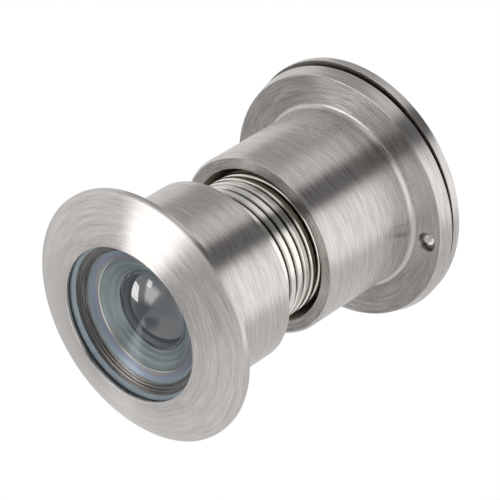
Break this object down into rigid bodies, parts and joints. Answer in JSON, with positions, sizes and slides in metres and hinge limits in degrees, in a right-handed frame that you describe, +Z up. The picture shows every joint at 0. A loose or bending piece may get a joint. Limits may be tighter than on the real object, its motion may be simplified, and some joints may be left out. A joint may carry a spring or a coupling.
{
  "type": "door viewer",
  "caption": "Door viewer in two flanged barrel halves drawn together by a threaded tube, with wide-angle lenses and a swinging eyepiece cover.",
  "frame": {"origin": "on the optical axis, in the plane where the outer flange rests on the outdoor face of the door", "axes": "+Y along the optical axis from outdoors into the room, +Z up, +X to the right when looking from outdoors to the room"},
  "size_m": [0.0397, 0.0508, 0.0402],
  "materials": {
    "satin_nickel": "brushed satin nickel plate",
    "bright_nickel": "bright nickel plate over turned metal",
    "spring_steel": "plain spring steel",
    "black_anodised": "black anodised, turned",
    "optical_glass": "polished and coated",
    "black_rubber": "matt"
  },
  "bodies": {
    "outer_half": {"outer_housing": "satin_nickel", "lens_seal": "black_rubber", "front_lens": "optical_glass", "front_spacer": "black_anodised", "lens_cell": "black_anodised", "second_lens": "optical_glass", "cell_spacer": "black_anodised", "third_lens": "optical_glass", "cell_retainer": "black_anodised", "threaded_bush": "bright_nickel"},
    "inner_half": {"inner_housing": "satin_nickel", "thrust_washer": "spring_steel", "pivot_washer": "spring_steel"},
    "adjusting_tube": {"threaded_tube": "bright_nickel", "tube_circlip": "spring_steel", "eyepiece_lens": "optical_glass", "eyepiece_retainer": "black_anodised"},
    "cover": {"privacy_cover": "satin_nickel", "cover_pivot": "bright_nickel", "pivot_push_nut": "spring_steel"}
  },
  "joints": [
    {"name": "grip_slide", "type": "slide", "parent": "outer_half", "child": "inner_half", "axis": [0, 1, 0], "range_m": [-0.00525, 0.0025]},
    {"name": "tube_turn", "type": "hinge", "parent": "inner_half", "child": "adjusting_tube", "pos_m": [0, 0.0422, 0], "axis": [0, 1, 0], "range_deg": [-1261, 601]},
    {"name": "cover_swing", "type": "hinge", "parent": "inner_half", "child": "cover", "pos_m": [0.0167, 0.04425, -0.00187], "axis": [0.0243, 0.9997, -0.0027], "continuous": true}
  ],
  "couplings": [
    {"joint": "tube_turn", "follows": "grip_slide", "rad_per_m": 4188.8}
  ]
}
